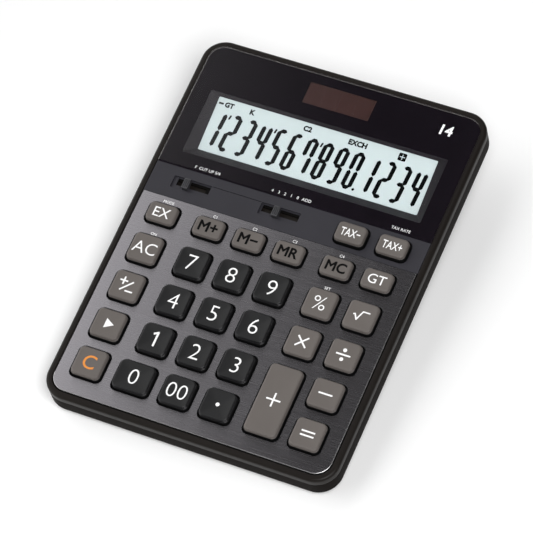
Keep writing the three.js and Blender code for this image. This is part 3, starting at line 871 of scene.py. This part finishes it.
glassWidth = glassHigh.x - glassLow.x
glassLength = math.hypot(frontHigh.y - frontLow.y, frontHigh.z - frontLow.z)
glass = roundedSlab(
    (-glassWidth / 2, -glassLength / 2, -glassThickness), (glassWidth / 2, glassLength / 2, 0), 0.5, 2,
)
roundLoop(glass, 0, 0.15, 1)
placePiece(
    "display_glass_pane", glass, displayMatrix, "root", ["display"], ["display_glass"],
)
placePiece("display_digits", makeDigits(), displayMatrix, "root", ["segment"], ["display_glass"])
placePiece("display_signs", makeSigns(), displayMatrix, "root", ["segment", "display"], ["display_glass"])
print("display made")

# ---- solar cell ----
solar = {"cells": 4, "line": 0.25}


def makeSolar():
    bm = roundedSlab(solarLow, (solarHigh.x, solarHigh.y, solarHigh.z - 0.1), 0.3, 2)
    step = (solarHigh.x - solarLow.x - 0.6) / solar["cells"]
    for i in range(solar["cells"]):
        x = solarLow.x + 0.3 + i * step
        cellPatch = roundedSlab(
            (x + solar["line"] / 2, solarLow.y + 0.3, solarHigh.z - 0.1), (
                x + step - solar["line"] / 2, solarHigh.y - 0.3, solarHigh.z,
            ), 0.1, 1
        )
        for face in cellPatch.faces:
            face.material_index = 1
        joinShapes(bm, cellPatch)
    return bm


placePiece(
    "solar_cell_panel", makeSolar(), faceMatrix, "root", ["solarLine", "solar"], ["solar_cell"],
)

# ---- keys ----
cap = {
    "radius": 2.6,
    "skirtAndShadeTop": 1.55,  # where the black skirt ends on a two-tone key; it is set high so the black also stands for the shade in the gap round the key, partly painted shade
    "draft": 0.35,
    "edge": 0.9,
    "darkEdge": 0.55,
    "dish": 0.22,
    "darkDish": 0.12,  # how much deeper a black key is dished
    "stemHalf": 3.4,
    "flangeTop": -3.2,
    "flangeDepth": 0.8,
    "stem": -4.7,
}
orangeKeys = {"key_clear"}
darkKeys = {f"key_{n}" for n in [*range(10), "00", "point"]}
blackLegends = {"key_memory_plus", "key_memory_minus", "key_memory_recall", "key_memory_clear"}


def makeKey(name):
    low, high = keySpans[name]
    dark = name in darkKeys
    size = high - low
    bm = roundedSlab((low.x, low.y, cap["flangeTop"]), high, cap["radius"], 7)
    centre = (low + high) / 2
    # drafted sides
    for v in bm.verts:
        if v.co.z > high.z - 0.01:
            v.co.x = centre.x + (v.co.x - centre.x) * (1 - 2 * cap["draft"] / size.x)
            v.co.y = centre.y + (v.co.y - centre.y) * (1 - 2 * cap["draft"] / size.y)
    # the skirt's top edge, with a fine step in to the cap
    for z in (cap["skirtAndShadeTop"], cap["skirtAndShadeTop"] + 0.08):
        bmesh.ops.bisect_plane(
            bm, geom=[*bm.verts, *bm.edges, *bm.faces], plane_co=(0, 0, z), plane_no=(0, 0, 1), dist=1e-5
        )
    for v in bm.verts:
        if v.co.z > cap["skirtAndShadeTop"] + 0.04:
            v.co.x = centre.x + (v.co.x - centre.x) * (1 - 0.24 / size.x)
            v.co.y = centre.y + (v.co.y - centre.y) * (1 - 0.24 / size.y)
    edge = cap["darkEdge"] if dark else cap["edge"]
    roundLoop(bm, high.z, edge, 4)
    top = insetFace(bm, facing(bm, (0, 0, 1), high.z), 0.05)
    previous, reached = 0.0, 1.0
    for share in (0.93, 0.8, 0.6, 0.35, 0.12):  # a shallow dish
        depth = (cap["dish"] + (cap["darkDish"] if dark else 0)) * (1 - share**2)
        top = shrinkFace(bm, top, share / reached, drop=-(depth - previous))
        previous, reached = depth, share
    stem = cap["stemHalf"]  # flange and stem lie under the deck
    made = joinShapes(
        bm,
        roundedSlab(
            (low.x - flange, low.y - flange, cap["flangeTop"] - cap["flangeDepth"]),
            (high.x + flange, high.y + flange, cap["flangeTop"]),
            cap["radius"] + flange,
            5,
        ),
        boxAt(centre.x, centre.y, stem, stem, cap["stem"], cap["flangeTop"] - cap["flangeDepth"], 1, 3),
    )
    # grey only above the skirt; the black below is partly the key's own colour and partly painted shade of
    # its gap
    if not dark:
        for face in made.faces:
            if face.calc_center_median().z > cap["skirtAndShadeTop"] + 0.02:
                face.material_index = 1
    return made


legends = {  # a text with its height, weight and any set width, or a shape's strokes
    "key_clear": ("C", 7.4, 0.06),
    "key_backspace": "arrow",
    "key_sign": [
        ((-3.9, 2.3), (-0.5, 2.3)), ((-2.2, 0.6), (-2.2, 4.0)), ((-2.4, -2.8), (2.6, 2.4)),
        ((0.6, -2.9), (3.9, -2.9)),
    ],
    "key_all_clear": ("AC", 6.4, -0.05),
    "key_exchange": ("EX", 5.2, 0.03),
    "key_memory_plus": ("M+", 5.8, 0.26),
    "key_memory_minus": ("M\u2212", 5.8, 0.26),
    "key_memory_recall": ("MR", 5.6, 0.26),
    "key_memory_clear": ("MC", 5.6, 0.26),
    "key_grand_total": ("GT", 5.1, 0.02),
    "key_tax_minus": ("TAX\u2212", 4.3, 0.1, 10.3),
    "key_tax_plus": ("TAX+", 4.3, 0.1, 10.3),
    "key_percent": ("%", 7.4, -0.08),
    "key_root": [
        ((-3.6, 0.1), (-3.0, 0.3)), ((-3.0, 0.3), (-1.5, -2.4)), ((-1.5, -2.4), (0.5, 2.4)),
        ((0.5, 2.4), (3.8, 2.4)),
    ],
    "key_multiply": [((-2.5, -2.5), (2.5, 2.5)), ((-2.5, 2.5), (2.5, -2.5))],
    "key_divide": [((-3.3, 0), (3.3, 0)), ((0, 2.5), (0, 2.6)), ((0, -2.5), (0, -2.6))],
    "key_minus": [((-3.2, 0), (3.2, 0))],
    "key_equals": [((-3.1, 1.1), (3.1, 1.1)), ((-3.1, -1.1), (3.1, -1.1))],
    "key_plus": [((-3.3, 0), (3.3, 0)), ((0, -3.3), (0, 3.3))],
    "key_0": ("0", 8.0, -0.12),
    "key_00": ("00", 7.8, -0.12),
    "key_point": [((0, -0.05), (0, 0.05))],
    "key_1": [((0.4, -3.6), (0.4, 3.5)), ((0.4, 3.5), (-1.3, 2.6))],
    **{f"key_{n}": (str(n), 8.2, -0.12) for n in range(2, 10)},
}
ink = {"stroke": 0.85, "own": {"key_root": 0.7, "key_1": 1.05}, "dot": 2.0}


def inkLine(start, end, stroke):  # one stroke with rounded ends
    start, end = Vector(start), Vector(end)
    way = end - start
    bm = roundedSlab(
        (-stroke / 2, -stroke / 2, -0.02), (way.length + stroke / 2, stroke / 2, 0.02), stroke * 0.22, 2,
    )
    angle = math.atan2(way.y, way.x)
    spin(bm, angle)
    shift(bm, start.x, start.y)
    return bm


def makeLegend(name):
    legend = legends[name]
    if legend == "arrow":
        bm = cylinder(3.1, -0.02, 0.02, segments=3)
        spin(bm, -math.pi / 2)
        return bm
    if isinstance(legend, tuple):
        text, height, weight, *width = legend
        return lettering(text, width[0] if width else None, height, weight=weight)
    bm = bmesh.new()
    for start, end in legend:
        dot = math.dist(start, end) < 0.2
        if dot:
            joinShapes(bm, cylinder(ink["dot"] / 2, -0.02, 0.02, start[0], start[1], 20))
        else:
            joinShapes(bm, inkLine(start, end, ink["own"].get(name, ink["stroke"])))
    return bm


def layOn(bm, tree, centre):  # drops flat print onto a key's dished top
    for v in bm.verts:
        lift = 0.02 if v.co.z > 0 else -0.06
        hit = tree.ray_cast(Vector((v.co.x + centre.x, v.co.y + centre.y, 20)), Vector((0, 0, -1)))[0]
        v.co = Vector((v.co.x + centre.x, v.co.y + centre.y, hit.z + lift))
    return bm


for name in keyNames:
    low, high = keySpans[name]
    dark = name in darkKeys
    keyMesh = makeKey(name)
    tree = BVHTree.FromBMesh(keyMesh)
    legendMesh = layOn(makeLegend(name), tree, (low + high) / 2)
    materials = ["keyBlack"] if dark else ["keyBlack", "keyGrey"]
    placePiece(f"{name}_cap", keyMesh, faceMatrix, name, materials, [name], angle=0.7)
    inkName = "inkBlack" if name in blackLegends else "inkOrange" if name in orangeKeys else "inkWhite"
    placePiece(f"{name}_legend", legendMesh, faceMatrix, name, [inkName], [name])
print("keys made:", len(keyNames))

# ---- small prints on the face ----
prints = {  # text, x, y, height
    "panel": [
        ("MODE", -58.4, 9.9, 1.5), ("C1", -32.9, 9.8, 1.5), ("C2", -11.3, 9.8, 1.5), ("C3", 10.3, 9.8, 1.5),
        ("C4", 35.5, 9.8, 1.5), ("ON", -58.4, -8.9, 1.5), ("SET", 35.6, -8.9, 1.5),
    ],
    "cover": [
        (
            "F  CUT UP 5/4", -47.5, 33.2, 1.6,
        ), ("4", -12.0, 33.3, 1.6), ("3", -8.5, 33.3, 1.6), ("2", -5.2, 33.3, 1.6),
        ("1", -1.8, 33.3, 1.6), ("0", 1.7, 33.3, 1.6), ("ADD", 6.4, 33.3, 1.6), (
            "TAX RATE", 57.0, 33.2, 1.5,
        ),
    ],
    "digitCount": ("14", 57.6, 92.2, 5.8),
}


def makePrints(rows, z, weight=0.06, lean=0.0):
    words = bmesh.new()
    for text, x, y, height in rows:
        word = lettering(text, None, height, 0.04, weight, lean)
        shift(word, x, y, z)
        joinShapes(words, word)
    return words


panelPrints = makePrints(prints["panel"], panelHigh.z + 0.01)
coverPrints = joinShapes(
    makePrints(prints["cover"], coverLow.z + 0.11, 0.0), makePrints(
        [prints["digitCount"]], coverLow.z + 0.11, 0.22, 0.05,
    )
)
placePiece("panel_prints", panelPrints, faceMatrix, "root", ["inkWhite"], ["key_panel"])
placePiece("cover_prints", coverPrints, faceMatrix, "root", ["inkWhite"], ["display_cover"])

# ---- slide switch knobs ----
knob = {"radius": 0.6, "ribs": 3, "ribPitch": 0.95, "edge": 0.3, "halfSize": (1.7, 2.9)}


def makeKnob(name):
    low, high = knobs[name]
    x, y = middleOf(low, high)
    floor = stripHigh.z - strip["troughDepth"] + 0.3
    bm = boxAt(x, y, *knob["halfSize"], floor, high.z, knob["radius"], 3)
    roundLoop(bm, high.z, knob["edge"], 2)
    grooves = []
    for i in range(knob["ribs"]):
        at = x + (i - (knob["ribs"] - 1) / 2) * knob["ribPitch"]
        grooves.append(boxAt(at, y, 0.22, 2.2, high.z - 0.5, high.z + 1, 0))
    bm = carve(bm, grooves)
    shutter = roundedSlab((low.x, low.y, -4.2), (high.x, high.y, -3.2), 0.4, 2)
    for face in shutter.faces:
        face.material_index = 1
    return joinShapes(bm, boxAt(x, y, 1, 1, low.z, floor, 0.2, 1), shutter)


for name in knobs:
    placePiece(f"{name}_cap", makeKnob(name), faceMatrix, name, ["knob", "case"], [name])
print("prints and switch knobs made")

# ---- lower case: tray and stand ----
base = {
    "standHalfWidth": 62,
    "standFront": -90,
    "standBack": 94,
    "standRadius": 10,
    "standBottom": 1.5,
    "standRound": 1.0,
}
screwSpots = [faceSpan(n) for n in frame["nodes"] if n.startswith("case_screw_")]
footSpans = {n: levelSpan(n) for n in frame["nodes"] if n.startswith("foot_")}
batteryLow, batteryHigh = levelSpan("battery_cover")
batteryScrewLow, batteryScrewHigh = levelSpan("battery_cover_screw")


def standInside(grow=0.0, low=3.5):
    wall = case["wall"] - grow
    return roundedSlab(
        (-base["standHalfWidth"] + wall, base["standFront"] + wall, low),
        (base["standHalfWidth"] - wall, base["standBack"] - wall, 40),
        base["standRadius"] - wall,
        10,
    )


def makeTray():
    top = case["rimBottom"] - case["seam"]
    low = case["trayBottom"]
    bm = roundedSlab((caseLow.x, caseLow.y, low), (caseHigh.x, caseHigh.y, top), case["cornerRadius"], 14)
    roundLoop(bm, low, case["lowerRound"], 4)
    lip = insetFace(bm, facing(bm, (0, 0, 1), top), case["wall"])
    pushFace(bm, lip, low + 2 - top)
    cutters = []
    for spotLow, spotHigh in screwSpots:
        x, y = middleOf(spotLow, spotHigh)
        cutters += [
            cylinder(1.7, low - 1, low + 3, x, y, 24), cylinder(3, low - 1, low + 2.3 - 0.6, x, y, 32),
        ]
    inner = standInside()
    bmesh.ops.transform(inner, matrix=faceMatrix.inverted() @ levelMatrix, verts=inner.verts)
    return carve(bm, [*cutters, inner])


def makeStand():
    bm = roundedSlab(
        (-base["standHalfWidth"], base["standFront"], base["standBottom"]),
        (base["standHalfWidth"], base["standBack"], 40),
        base["standRadius"],
        10,
    )
    roundLoop(bm, base["standBottom"], base["standRound"], 3)
    toLevel = levelMatrix.inverted() @ faceMatrix
    underside = toLevel @ Vector((0, 0, case["trayBottom"] + 0.02))
    normal = (toLevel.to_3x3() @ Vector((0, 0, 1))).normalized()
    cut = bmesh.ops.bisect_plane(
        bm, geom=[*bm.verts, *bm.edges, *bm.faces], plane_co=underside, plane_no=normal, clear_outer=True
    )
    bmesh.ops.holes_fill(bm, edges=[e for e in bm.edges if e.is_boundary])
    cutters = [standInside()]
    for low, high in footSpans.values():
        cutters.append(cylinder(6.3, 0, high.z + 0.3, *middleOf(low, high), 40))
    cutters.append(
        roundedSlab(
            (batteryLow.x - 0.3, batteryLow.y - 0.3, 0), (batteryHigh.x + 0.3, batteryHigh.y + 0.3, 3.4), 3,
            6,
        )
    )
    cutters.append(
        roundedSlab(
            (batteryLow.x + 2, batteryLow.y + 2, 0), (batteryHigh.x - 2, batteryHigh.y - 2, 5), 0.5, 2,
        )
    )
    return carve(bm, cutters)


placePiece("case_tray", makeTray(), faceMatrix, "root", ["caseLower"], ["lower_case"])
placePiece("case_stand", makeStand(), levelMatrix, "root", ["caseLower"], ["lower_case"])


# ---- fasteners, feet and battery cover ----
def makeScrew(low, high, headRadius):
    x, y = middleOf(low, high)
    head = cylinder(headRadius, low.z, low.z + 1.5, x, y, 32)
    roundLoop(head, low.z, 0.5, 3)
    reach, half = headRadius * 0.55, 0.35  # the cross recess
    recess = [
        boxAt(x, y, halfX, halfY, low.z - 1, low.z + 0.9, 0)
        for halfX, halfY in [(reach, half), (half, reach)]
    ]
    head = carve(head, recess)
    shaft = cylinder(1.15, low.z + 1.4, high.z, x, y, 20, 0.9)
    return joinShapes(head, shaft)


for node in [n for n in frame["nodes"] if n.startswith("case_screw_")]:
    low, high = faceSpan(node)
    placePiece(
        f"{node}_turned", makeScrew(low, high, 2.6), faceMatrix, "root", ["steel"], [node],
    )
lidScrew, node = makeScrew(batteryScrewLow, batteryScrewHigh, 2.0), "battery_cover_screw"
placePiece(f"{node}_turned", lidScrew, levelMatrix, "root", ["steel"], [node])

foot = {"edge": 0.5}
for name, (low, high) in footSpans.items():
    x, y = middleOf(low, high)
    pad = cylinder(5.6, 0, high.z, x, y, 48, 6)
    roundLoop(pad, 0, foot["edge"], 3)
    placePiece(f"{name}_pad", pad, levelMatrix, "root", ["foot"], [name])


def makeBatteryCover():
    bm = roundedSlab(
        (batteryLow.x, batteryLow.y, base["standBottom"]), (
            batteryHigh.x, batteryHigh.y, base["standBottom"] + 1.6,
        ), 3, 6
    )
    roundLoop(bm, base["standBottom"], 0.25, 2)
    x, y = middleOf(batteryScrewLow, batteryScrewHigh)
    cellLow, cellHigh = levelSpan("button_cell")
    cellX, cellY = middleOf(cellLow, cellHigh)
    bm = carve(bm, [cylinder(2.4, 0, base["standBottom"] + 0.9, x, y, 28), cylinder(1.3, 0, 9, x, y, 20)])
    ring = cylinder(6, base["standBottom"] + 1.4, cellLow.z - 0.3, cellX, cellY, 40)
    ring = carve(ring, [cylinder(4.4, base["standBottom"] + 1.0, 9, cellX, cellY, 40)])
    return joinShapes(bm, ring)


placePiece(
    "battery_cover_lid", makeBatteryCover(), levelMatrix, "root", ["caseLower"], ["battery_cover"],
)
print("lower case, feet, fasteners and battery cover made")

# ---- rubber keypad: a sheet with a dome under each key ----
rubber = {
    "sheetTop": -7.5,
    "tab": (26, 10),  # the sheet's back edge steps here, to reach the two keys beside the switches
    "domeRadius": 3.4,
    "domeTop": -4.85,
    "domeTopRadius": 2.4,
    "domeRound": 0.5,
    "clearance": 0.1,
}


def makeSheet():
    low, high = faceSpan("keypad_sheet")
    tabX, tabY = rubber["tab"]
    outline = [
        (low.x, low.y), (high.x, low.y), (high.x, high.y), (tabX, high.y), (tabX, tabY), (low.x, tabY),
    ]
    return flatPlate([outline], low.z, rubber["sheetTop"])


def makeDome(x, y):
    bm = bmesh.new()
    height = rubber["domeTop"] - rubber["sheetTop"] + 0.1
    bmesh.ops.create_cone(
        bm,
        cap_ends=True,
        segments=32,
        radius1=rubber["domeRadius"],
        radius2=rubber["domeTopRadius"],
        depth=height,
    )
    shift(bm, x, y, rubber["domeTop"] - height / 2)
    roundLoop(bm, rubber["domeTop"], rubber["domeRound"], 3)
    return bm


placePiece(
    "keypad_rubber_sheet", makeSheet(), faceMatrix, "root", ["dome"], ["keypad_sheet"],
    angle=0.1,
)
for name in keyNames:
    low, high = keySpans[name]
    x, y = middleOf(low, high)
    dome = placePiece(
        f"{name}_dome", makeDome(x, y), faceMatrix, "root", ["dome"], ["keypad_sheet"],
    )
    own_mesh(dome)
print("rubber keypad made")

# ---- finishes for the inner parts that keep their frame shape ----
innerFinish = {
    "main_board": "board",
    "display_ribbon": "ribbon",
    "button_cell": "steel",
    "battery_contact_cap": "brass",
    "battery_contact_can": "brass",
    "battery_lead_black": "leadBlack",
    "battery_lead_red": "leadRed",
}
for node, finish in innerFinish.items():
    obj = frame["nodes"][node]
    obj.data.materials.clear()
    obj.data.materials.append(finishes[finish])

# ---- floor, light and camera ----
studio = {
    "floorSize": 8,
    "floorColor": (0.93, 0.93, 0.93),
    "roomLight": 0.03,
    "cardLight": 1.75,
    "cardEdge": (0.317, 0.47),
    "cardWay": (-0.995, 0.1, 0.0),
    "cameraAt": (0.49458, -0.74773, 1.36890),
    "lookAt": (0.002156, -0.007872, 0.025094),
    "roll": math.radians(-11.6343),
    "lens": 222.58,
}
floorMesh = bmesh.new()
bmesh.ops.create_grid(floorMesh, x_segments=1, y_segments=1, size=studio["floorSize"] / 2)
floor = asObject(floorMesh, "studio_floor")
floorFinish, _, floorShader = newFinish("studioFloor", Roughness=0.9)
floorShader.inputs["Base Color"].default_value = (*studio["floorColor"], 1)
floorShader.inputs["Specular IOR Level"].default_value = 0.1
floor.data.materials.append(floorFinish)

world = bpy.data.worlds.new("studio")
bpy.context.scene.world = world
world.use_nodes = True
# a big soft white card on the left fades into a dim room on the right
sky = world.node_tree
skyPlace = addNode(sky, "ShaderNodeTexCoord")
skyWay = {0: skyPlace.outputs["Generated"], 1: studio["cardWay"]}
skySide = addNode(sky, "ShaderNodeVectorMath", skyWay, operation="DOT_PRODUCT")
skyFade = addNode(
    sky,
    "ShaderNodeMapRange",
    {
        "From Min": studio["cardEdge"][0], "From Max": studio["cardEdge"][1],
        "To Min": studio["roomLight"], "To Max": studio["cardLight"], "Value": skySide.outputs["Value"],
    },
    interpolation_type="SMOOTHSTEP",
)
setInputs(sky, sky.nodes["Background"], {"Strength": skyFade.outputs["Result"], "Color": (1, 1, 1, 1)})


lamps = [  # name, place, target, size, power
    ("main", (0.85, -0.75, 1.7), (0, 0, 0), (1.2, 1.2), 40),
]
for name, place, target, size, power in lamps:
    data = bpy.data.lights.new(name, "AREA")
    data.shape = "RECTANGLE"
    data.size, data.size_y = size
    data.energy = power
    lamp = bpy.data.objects.new(name, data)
    lamp.location = place
    lamp.rotation_euler = (Vector(target) - Vector(place)).to_track_quat("-Z", "Y").to_euler()
    bpy.context.scene.collection.objects.link(lamp)

cameraData = bpy.data.cameras.new("camera")
cameraData.lens = studio["lens"]
cameraData.sensor_width = 36
cameraData.clip_start, cameraData.clip_end = 0.1, 20
camera = bpy.data.objects.new("camera", cameraData)
bpy.context.scene.collection.objects.link(camera)
look = (Vector(studio["lookAt"]) - Vector(studio["cameraAt"])).to_track_quat("-Z", "Y")
camera.rotation_mode = "QUATERNION"
camera.rotation_quaternion = look @ Matrix.Rotation(studio["roll"], 3, "Z").to_quaternion()
camera.location = studio["cameraAt"]
bpy.context.scene.camera = camera
bpy.context.scene.view_settings.view_transform = "Standard"

print("scene complete")
